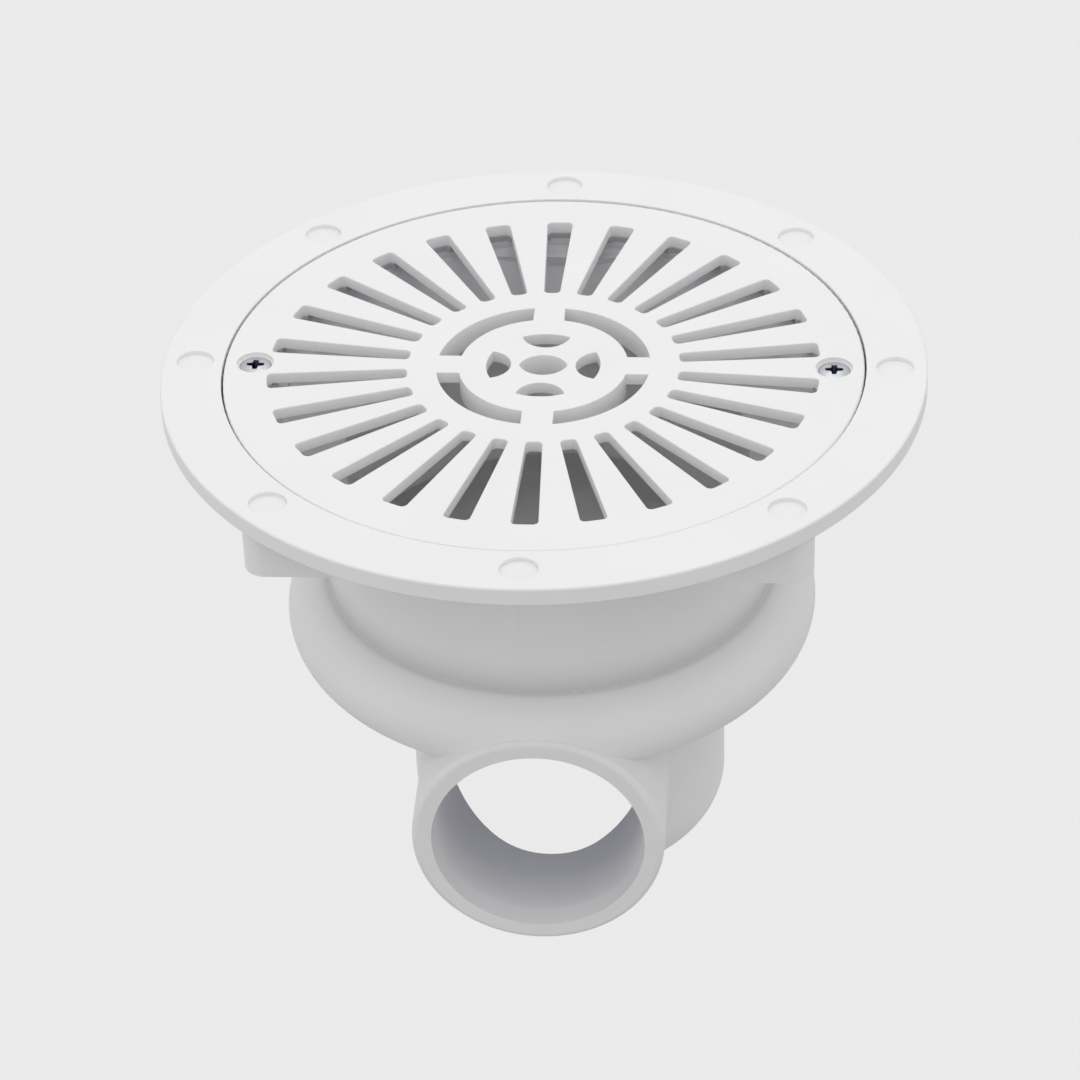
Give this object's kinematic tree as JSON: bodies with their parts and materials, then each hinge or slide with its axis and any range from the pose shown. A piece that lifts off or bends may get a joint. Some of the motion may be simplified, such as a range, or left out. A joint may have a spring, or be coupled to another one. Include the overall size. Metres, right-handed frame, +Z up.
{
  "type": "pool main drain",
  "caption": "Round floor drain for a concrete pool: screwed flat grate in a flange, square anchor skirt, neck, bulged bowl and chamber with a side socket and an open bottom port.",
  "frame": {"origin": "centre of the flange's top face, which lies flush with the pool floor", "axes": "+Z up into the pool, -Y along the side outlet towards its mouth, the two grate screws on the X axis"},
  "size_m": [0.23, 0.23, 0.1616],
  "materials": {
    "white_flange": "satin moulded white plastic",
    "white_grate": "satin moulded white plastic",
    "white_sump": "satin moulded white plastic",
    "screw_steel": "bright stainless steel",
    "insert_brass": "turned brass"
  },
  "bodies": {
    "root": {"flange_body": "white_flange", "grate": "white_grate", "sump_bowl": "white_sump", "grate_screw_left": "screw_steel", "grate_screw_right": "screw_steel", "thread_insert_left": "insert_brass", "thread_insert_right": "insert_brass"}
  },
  "joints": []
}
